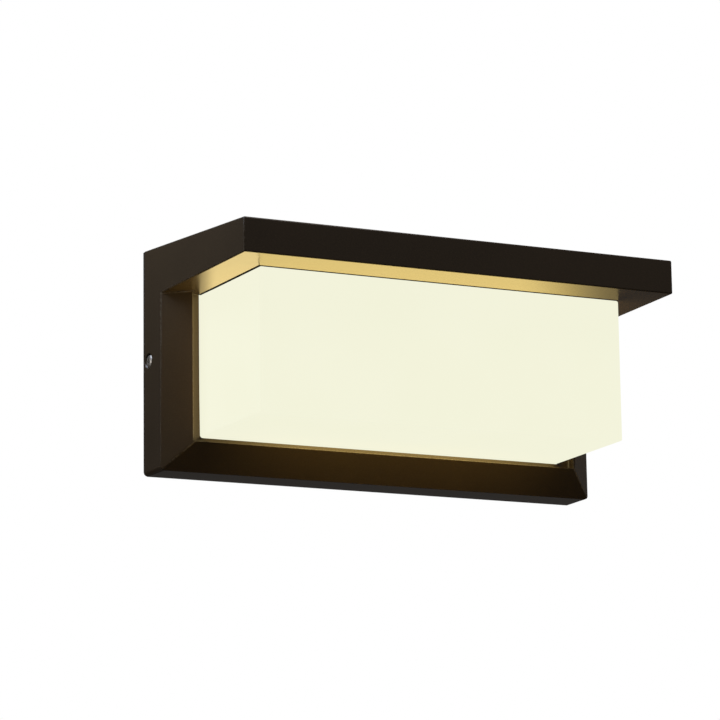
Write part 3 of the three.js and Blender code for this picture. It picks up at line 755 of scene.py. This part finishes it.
def new_piece(name, bm, material):
    """An object with the solid as its mesh. It uses the solid up."""
    bmesh.ops.recalc_face_normals(bm, faces=bm.faces)
    bm.faces.index_update()
    mesh = bpy.data.meshes.new(name)
    broad = broad_faces(bm)
    bm.to_mesh(mesh)
    bm.free()
    mesh.materials.append(material)
    shade(mesh, broad)
    piece = bpy.data.objects.new(name, mesh)
    bpy.context.scene.collection.objects.link(piece)
    return piece


def stand_in(name, bm, *nodes, slot=None):
    """A piece that takes these CAD nodes' place, on their body. Its material is that of their slot, or
    of the slot that is given."""
    used = slot or SLOT_OF[nodes[0]]
    piece = new_piece(name, bm, materials[used])
    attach(piece, BODY_OF[nodes[0]])
    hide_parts(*nodes)
    return piece


def placed(name, bm, *nodes, slot=None):
    """stand_in() for a mesh that is laid out in the design's millimetres."""
    return stand_in(name, moved(bm, DESIGN), *nodes, slot=slot)


def softened(node, shortest, radius, segments):
    """A finer copy of a CAD node: its flat faces are joined, and its sharp edges rounded if they are
    longer than the shortest."""
    bm = bmesh.new()
    bm.from_mesh(frame["nodes"][node].data)
    bmesh.ops.remove_doubles(bm, verts=bm.verts, dist=0.01 * MM)
    bmesh.ops.dissolve_limit(bm, angle_limit=math.radians(1), verts=bm.verts, edges=bm.edges)
    rounded(bm, radius * MM, segments, shortest * MM)
    return stand_in(f"{node}_shell", bm, node)


# ---- Screws ----

# In millimetres: the head's radius and height, the thread's radii at its crest and root, and its pitch
SCREWS = {
    "M3": {"head": 2.8, "rise": 2.0, "crest": 1.5, "root": 1.19, "pitch": 0.5, "drive": "cross"},
    "M4": {"head": 3.7, "rise": 2.6, "crest": 2.0, "root": 1.6, "pitch": 0.7, "drive": "cross"},
    "M4_button": {"head": 3.8, "rise": 2.2, "crest": 2.0, "root": 1.6, "pitch": 0.7,
                  "drive": "hexagon"},
}
SCREW_COLUMNS = 32

# The points of a screw's head, thread and tip join where they are nearer than this
SEAM = 1e-4


def thread_rows(root, crest, pitch, start, end):
    """A right-hand thread's skin from start to end along z. Its rows follow the helix."""
    phases = (0.0, 0.375, 0.5, 0.875)
    heights = (0, 1, 1, 0)
    rows = 4 * (math.ceil((end - start) / pitch) + 2)

    def point(row, column):
        turn, step = divmod(row, 4)
        z = start + (turn - 1 + phases[step] + column / SCREW_COLUMNS) * pitch
        z = min(max(z, start), end)
        ramp = min(1.0, (z - start) / (0.5 * pitch), (end - z) / pitch)
        radius = root + (crest - root) * heights[step] * ramp
        angle = 2 * math.pi * column / SCREW_COLUMNS
        return radius * math.cos(angle), radius * math.sin(angle), z

    bm = bmesh.new()
    spots = [[bm.verts.new(point(row, column)) for column in range(SCREW_COLUMNS)]
             for row in range(rows + 4)]
    for row in range(rows):
        for column in range(SCREW_COLUMNS):
            near = spots[row], spots[row + 1]
            if column + 1 < SCREW_COLUMNS:
                far = (near[0][column + 1], near[1][column + 1])
            else:
                far = (spots[row + 4][0], spots[row + 5][0]) if row + 5 < len(spots) else None
            if far:
                bm.faces.new((near[0][column], far[0], far[1], near[1][column]))
    return bm


def head_profile(head, rise, domed):
    """From the middle of the head's top to its seat, as (radius, z)."""
    flat = 0.5 if domed else 0.62
    rim = 0.12 if domed else 0.3
    chamfer = 0.15
    steps = 8
    shoulder = []
    for i in range(steps + 1):
        angle = math.radians(90 * i / steps)
        radius = head * (flat + (1 - flat) * math.sin(angle))
        shoulder.append((radius, -rise * (rim + (1 - rim) * math.cos(angle))))
    return shoulder + [(head, -chamfer), (head - chamfer, 0.0)]


def recess(drive, head, rise):
    """The solid that a cross or hexagon driver would fill. depths holds each level's z and size."""
    above = -rise - 0.5
    bm = bmesh.new()
    if drive == "hexagon":
        outline = [(x, y) for x, y, _ in ring_of(0.38 * head, 0, 6)]
        depths = ((above, 1.0), (-0.3 * rise, 1.0), (-0.12 * rise, 0.2))
    else:
        reach, half = 0.56 * head, 0.12 * head
        arm = [(reach, -half), (reach, half), (half * 1.25, half * 1.25)]
        outline = []
        for quarter in range(4):
            turn = Matrix.Rotation(quarter * math.pi / 2, 2)
            outline += [tuple(turn @ Vector(spot)) for spot in arm]
        depths = ((above, 1.15), (-0.3 * rise, 0.6), (-0.15 * rise, 0.15))
    skinned(bm, [[(x * k, y * k, z) for x, y in outline] for z, k in depths])
    return bm


def screw_solid(kind, length):
    """A screw that points along z, with its head below z = 0. The tip is at the length."""
    spec = SCREWS[kind]
    root = spec["root"]
    neck, taper = 0.35, 0.5
    start, end = neck, length - taper
    above = head_profile(spec["head"], spec["rise"], spec["drive"] == "hexagon")
    head = turned([*above, (root, 0.0), (root, start)], SCREW_COLUMNS, capped=(True, False))
    tip = turned([(root, end), (0.62 * root, length)], SCREW_COLUMNS, capped=(False, True))
    blank = joined(head, thread_rows(root, spec["crest"], spec["pitch"], start, end), tip)
    bmesh.ops.remove_doubles(blank, verts=blank.verts, dist=SEAM)
    return carved(blank, recess(spec["drive"], spec["head"], spec["rise"]))


def add_screw(node, kind, direction):
    """Puts a screw where the CAD has its plain one. It points in the direction, and is as long."""
    low, high = (Vector(corner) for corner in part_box(node))
    rise = SCREWS[kind]["rise"]
    centre = (low + high) / 2
    half = abs((high - low).dot(direction)) / 2
    seat = centre - direction * (half - rise * MM)
    length = 2 * half / MM - rise
    solid = moved(screw_solid(kind, length), facing(direction, seat))
    return stand_in(f"{node}_detailed", solid, node)


def make_screws():
    for i in range(8):
        add_screw(f"tray_screw_{i + 1}", "M3", FORWARD)
    for i in range(4):
        add_screw(f"board_screw_{i + 1}", "M3", BACKWARD)
    for i in range(2):
        add_screw(f"driver_screw_{i + 1}", "M3", FORWARD)
        add_screw(f"terminal_fixing_{i + 1}", "M3", FORWARD)
    add_screw("earth_screw", "M4", FORWARD)
    add_screw("side_screw_left", "M4_button", RIGHT)
    add_screw("side_screw_right", "M4_button", LEFT)


# ---- Tray, LED board and gasket ----

def make_tray():
    """The tray, with a notch in its top edge where the driver goes in, the grommet in its hole, and the
    gasket in front of its rim."""
    notch, top, ear, half, bottom = 71, 101.7, 107, 119.6, 7
    edge = [
        *arc((half - 4, bottom + 4), 4, -90, 0, 8), *arc((half - 4, ear - 4), 4, 0, 90, 8),
        *arc((notch + 1.5, ear - 1.5), 1.5, 90, 180, 5), *arc((notch - 1, top + 1), 1, 0, -90, 5),
        *arc((1 - notch, top + 1), 1, -90, -180, 5), *arc((-notch - 1.5, ear - 1.5), 1.5, 0, 90, 5),
        *arc((4 - half, ear - 4), 4, 90, 180, 8), *arc((4 - half, bottom + 4), 4, 180, 270, 8),
    ]
    holes = [circle(at, M3_HOLE) for at in TRAY_SCREWS + BOARD_SCREWS + TERMINAL_FIXINGS]
    holes += [circle(LED_ENTRY, 3.6), circle(EARTH_AT, M4_HOLE)]
    placed("tray_plate", plate([edge, *holes], TRAY_BACK, TRAY_FRONT), "led_tray")
    section = [(2.6, 18), (4.4, 18), (4.4, 19.4), (3.3, 19.4),
               (3.3, 21.5), (4.1, 21.5), (4.1, 22.7), (2.6, 22.7)]
    lip = turned(section, 40, closed=True)
    rounded(lip, 0.2, 2)
    placed("grommet_lip", put(lip, (*LED_ENTRY, 0)), "tray_grommet")
    outer = rounded_rectangle(-112.2, 112.2, 14.6, 99.3, 3)
    inner = rounded_rectangle(-109.4, 109.4, 17.4, 96.5, 1.6)
    placed("gasket_frame", plate([outer, inner], 23.8, 25.1, 0.4, 3), "diffuser_gasket")


def make_wall_gasket():
    """The foam strip behind the housing's back edge, pressed up to it."""
    top = 123.09
    edge = [*arc((127.2, 2.8), 2.5, -90, 0, 8), *arc((129.3, top - 0.4), 0.4, 0, 90, 4),
            *arc((-129.3, top - 0.4), 0.4, 90, 180, 4), *arc((-127.2, 2.8), 2.5, 180, 270, 8)]
    inside = rounded_rectangle(-126.4, 126.4, 3.2, 120.19, 0.6)
    placed("wall_gasket_strip", plate([edge, inside], 0, 1.5, 0.3, 3), "wall_gasket")


def make_led_board():
    """Thirty LEDs on a white board, each a pale package with a round yellow window and a pad at each
    end, and two blobs of solder for the leads."""
    columns, rows = 10, 3
    edge = rounded_rectangle(-98, 98, 30, 84, 2)
    holes = [circle(at, M3_HOLE) for at in BOARD_SCREWS]
    placed("led_board_sheet", plate([edge, *holes], BOARD_BACK, BOARD_FRONT, 0.1), "led_board")
    packages, windows, pads = [], [], []
    for column in range(columns):
        for row in range(rows):
            x = LED_PITCH * (column - (columns - 1) / 2)
            y = LED_MIDDLE + LED_PITCH * (row - (rows - 1) / 2)
            place = (x, y, BOARD_FRONT)
            package = rounded_block((-1.75, 1.75), (-1.4, 1.4), (0.02, 0.7), 0.12)
            window = turned([(1.2, 0.69), (1.17, 0.75), (1.0, 0.79), (0.6, 0.8)], 24)
            packages.append(put(package, place))
            windows.append(put(window, place))
            for side in (-1, 1):
                reach = sorted((1.5 * side, 2.3 * side))
                pads.append(put(rounded_block(reach, (-1.1, 1.1), (0.0, 0.14), 0.05), place))
    for side in (-1, 1):
        blob = turned([(1.2, 0.0), (1.15, 0.25), (0.85, 0.6), (0.35, 0.78)], 24)
        pads.append(put(blob, (LED_ENTRY[0] + LED_LEAD_STEP * side, 81.3, BOARD_FRONT)))
    placed("led_packages", joined(*packages), "led_board", slot="white_plastic")
    placed("led_windows", joined(*windows), "led_board", slot="phosphor")
    placed("led_pads", joined(*pads), "led_board", slot="zinc_steel")


def make_rings():
    """The sealing rings under the side screws' heads, pressed a little flat."""
    middle, wide, thick = 2.7, 0.4, 0.35
    for name, direction in (("left", LEFT), ("right", RIGHT)):
        section = [(middle + wide * x, thick + thick * y) for x, y in circle((0, 0), 1, 20)]
        seat = DESIGN @ Vector((126.7 * direction.x, MIDDLE_HEIGHT, 7.5))
        ring = moved(turned(section, 48, closed=True), facing(direction, seat))
        stand_in(f"side_ring_{name}", ring, f"side_o_ring_{name}")


# ---- Driver ----

def make_driver():
    """The driver's case, its end cover, and its board with the parts on it."""
    softened("driver_case", 0.5, 0.5, 3)
    holes = [circle((x, DRIVER_MIDDLE), 1.25, 24) for x in (*MAINS_ENTRIES, 37.6, 42.4)]
    holes += [circle((x, DRIVER_MIDDLE), M3_HOLE) for x in (-63.5, 63.5)]
    edge = rounded_rectangle(-68.5, 68.5, 99.4, 113.8, 2)
    placed("driver_cover_plate", plate([edge, *holes], 31.9, 33.7, 0.25), "driver_end_cover")

    deck, board_thick = 102.8, 1.6
    edge = rounded_rectangle(-55, 55, -70, -36, 1)
    holes = [circle((x, y), 1.2, 20) for x in (-50, 50) for y in (-66, -40)]
    board = moved(plate([edge, *holes], deck - board_thick, deck, 0.1), ALONG_HEIGHT)
    placed("driver_board_sheet", board, "driver_board")
    chips = [rounded_block((14, 19), (deck, deck + 1.5), (44, 48), 0.15),
             rounded_block((26, 32), (deck, deck + 2.2), (52, 58), 0.3),
             rounded_block((-50, -44), (deck, deck + 5), (56, 66), 0.6),
             *[rounded_block((x, x + 2), (deck, deck + 0.6), (z, z + 1.2), 0.1)
               for x in (14, 18, 22, 34, 38) for z in (40, 51, 62)]]
    placed("driver_chips", joined(*chips), "driver_board", slot="capacitor_sleeve")

    halves = [rounded_block((-9, 9), (deck + 0.3, deck + 8.6), depth, 0.5, 3)
              for depth in ((42, 49.9), (50.1, 58))]
    placed("transformer_core", joined(*halves), "driver_transformer", slot="capacitor_sleeve")
    coil = rounded_block((-6, 6), (deck + 1.5, deck + 7.4), (39, 61), 1.6, 4)
    placed("transformer_coil", coil, "driver_transformer")

    can = turned([(3.2, 0), (3.75, 0.2), (4, 0.7), (4, 1.7), (3.75, 2.1), (3.75, 2.6), (4, 3.0),
                  (4, 15.2), (3.8, 15.75), (3.3, 16)], 40)
    placed("capacitor_can", put(can, (-40, deck + 4.3, 48), ALONG_X), "driver_capacitor")


# ---- Terminal block and earth ----

def make_terminal_block():
    """A block of three poles. Each has a brass tube from below to above, and two clamp screws."""
    bottom, top, back, front = 44.5, 62.5, 5.9, 19.4
    half_pole, shelf = 5.25, front - 4
    profile = [(bottom, front), (bottom, back + 3), (bottom + 2, back),
               (top - 2, back), (top, back + 3), (top, front)]
    body = bmesh.new()
    ends = (POLES[0] - half_pole, POLES[2] + half_pole)
    skinned(body, [[(x, *spot) for spot in profile] for x in ends])
    rounded(body, 0.4, 3)
    bores = [put(turned([(2.4, bottom - 1), (2.4, top + 1)]), (x, 0, INSERT_DEPTH), ALONG_HEIGHT)
             for x in POLES]
    clamps = [put(turned([(1.9, back - 1), (1.9, INSERT_DEPTH)]), (x, y, 0))
              for x in POLES for y in CLAMPS]
    stepped = [(3.1, back - 1), (3.1, shelf), (M3_HOLE, shelf), (M3_HOLE, front + 1)]
    fixings = [put(turned(stepped), (*at, 0)) for at in TERMINAL_FIXINGS]
    grooves = [rounded_block((x - 0.7, x + 0.7), (bottom - 1, top + 1), (back - 1, back + 2.5))
               for x, _ in TERMINAL_FIXINGS]
    for cutters in (grooves, bores, clamps, fixings):
        body = carved(body, joined(*cutters))
    placed("terminal_body", body, "terminal_block")
    section = [(1.3, 46.2), (1.5, 46), (1.9, 46), (2.1, 46.2),
               (2.1, 60.8), (1.9, 61), (1.5, 61), (1.3, 60.8)]
    for i, x in enumerate(POLES):
        tube = put(turned(section, 40, closed=True), (x, 0, INSERT_DEPTH), ALONG_HEIGHT)
        taps = [put(turned([(1.35, back), (1.35, INSERT_DEPTH)], 32), (x, y, 0)) for y in CLAMPS]
        placed(f"insert_tube_{i + 1}", carved(tube, joined(*taps)), f"terminal_insert_{i + 1}")
        for j, y in enumerate(CLAMPS):
            clamp = put(slotted_screw(), (x, y, INSERT_DEPTH - 2.4))
            number = 2 * i + j + 1
            placed(f"clamp_thread_{number}", clamp, f"clamp_screw_{number}")


def slotted_screw():
    """A headless screw from z = -3 to 0.6, with its slot at the low end."""
    root, crest, pitch, start = 1.22, 1.5, 0.5, -2.8
    point = [(root, 0.0), (1.1, 0.05), (1.1, 0.45), (0.95, 0.6)]
    top = turned([(1.0, -3.0), (root, start)], SCREW_COLUMNS, capped=(True, False))
    tip = turned(point, SCREW_COLUMNS, capped=(False, True))
    blank = joined(top, thread_rows(root, crest, pitch, start, 0.0), tip)
    bmesh.ops.remove_doubles(blank, verts=blank.verts, dist=SEAM)
    return carved(blank, rounded_block((-2, 2), (-0.28, 0.28), (-3.5, -2.2), 0.05))


def make_earth():
    """A ring lug, crimped to its lead, on a star washer."""
    x, y = EARTH_AT
    eye, half_tongue, reach = 4, 1.6, 7.7
    bend = math.degrees(math.asin(half_tongue / eye))
    tongue = [*arc(EARTH_AT, eye, bend - 180, 180 - bend, 40),
              (x - reach, y + half_tongue), (x - reach, y - half_tongue)]
    ring = plate([tongue, circle(EARTH_AT, M4_HOLE)], 17.8, 18.6, 0.12)
    section = [(1.25, 0.2), (1.4, 0), (1.8, 0), (1.95, 0.2), (1.95, 1.6), (1.8, 2.0),
               (1.8, 3.6), (1.95, 4.0), (1.95, 5.4), (1.8, 5.6), (1.4, 5.6), (1.25, 5.4)]
    barrel = put(turned(section, 36, closed=True), (x - 13, y, CRIMP_DEPTH), ALONG_X)
    placed("earth_lug_ring", joined(ring, barrel), "earth_lug")
    count, inner, outer = 12, 3.25, 3.88
    teeth = []
    for i in range(count):
        for turn, radius in ((0.0, inner), (0.3, inner), (0.42, outer), (0.88, outer)):
            angle = 2 * math.pi * (i + turn) / count
            teeth.append((x + radius * math.cos(angle), y + radius * math.sin(angle)))
    placed("earth_star", plate([teeth, circle(EARTH_AT, M4_HOLE)], 18.9, 19.4, 0.08), "earth_washer")


# ---- Leads ----

def add_sleeve(name, node, route, columns=20):
    placed(name, swept(curve_through(route), LEAD_RADIUS, columns), node)


def add_strands(name, node, route, radius, slot):
    placed(name, swept(curve_through(route), radius, 24, STRANDS), node, slot=slot)


def make_leads():
    """Each lead's insulation, and its strands where they are bare or soldered."""
    for name, side in (("plus", -1), ("minus", 1)):
        shift = LED_LEAD_STEP * side
        start, end = 40 + 2.4 * side, LED_ENTRY[0] + shift
        add_sleeve(f"led_sleeve_{name}", f"led_lead_{name}", [
            (start, DRIVER_MIDDLE, 36), (start, DRIVER_MIDDLE, 31.6), (start, DRIVER_MIDDLE, 24),
            (start + 1, 104 + shift, 14.7), (end - 6, 98 + shift, 13.7), (end - 1, 90.7, 14.2),
            (end, 88.7, 18.7), (end, 88.7, 23.4), (end, 86.5, 25.6), (end, 84.3, 25.3),
        ])
        bare = [(end, 84.8, 25.4), (end, 83.4, 25.1), (end, 82.2, 24.1), (end, 81.5, 23.5)]
        add_strands(f"led_strands_{name}", f"led_lead_{name}", bare, SOLDERED_STRANDS, "zinc_steel")
    for name, x, end in zip(("live", "neutral"), POLES, MAINS_ENTRIES):
        add_sleeve(f"{name}_sleeve", f"{name}_lead", [
            (x, 59.5, INSERT_DEPTH), (x, 67.5, INSERT_DEPTH), (x + (end - x) * 0.4, 83, 14.4),
            (end, 98, 14.6), (end, 105.2, 18), (end, DRIVER_MIDDLE, 25), (end, DRIVER_MIDDLE, 31.6),
            (end, DRIVER_MIDDLE, 36),
        ])
    x, y = POLES[2], EARTH_AT[1]
    add_sleeve("earth_sleeve", "earth_lead", [
        (x, 59.5, INSERT_DEPTH), (x, 67.5, INSERT_DEPTH), (-39.5, 75.5, 14.4), (-36, 85, 15.8),
        (-29, y, CRIMP_DEPTH), (-22.4, y, CRIMP_DEPTH),
    ], columns=24)
    for name, x in zip(("live", "neutral", "earth"), POLES):
        bare = [(x, height, INSERT_DEPTH) for height in (59.7, 56, 52, 47.5)]
        add_strands(f"{name}_strands", f"{name}_lead", bare, BARE_STRANDS, "brass")
    bare = [(x, y, CRIMP_DEPTH) for x in (-22.6, -21.4, -20, -18.8)]
    add_strands("earth_strands_at_lug", "earth_lead", bare, BARE_STRANDS, "brass")


make_camera()
make_studio()
make_floor()
make_studio_lights()
make_glow()

materials = make_materials()
for name, node in frame["nodes"].items():
    node.data.materials.clear()
    node.data.materials.append(materials[SLOT_OF[name]])

softened("housing", 3.0, 0.85, 4)
opal_box = softened("diffuser", 3.0, 0.7, 3)
# The glow lights stand in for the lit box in reflections and on the paint
opal_box.visible_glossy = False
opal_box.visible_diffuse = False
softened("wall_bracket", 0.1, 0.2, 2)
make_wall_gasket()
make_tray()
make_led_board()
make_rings()
make_driver()
make_terminal_block()
make_earth()
make_leads()
make_screws()
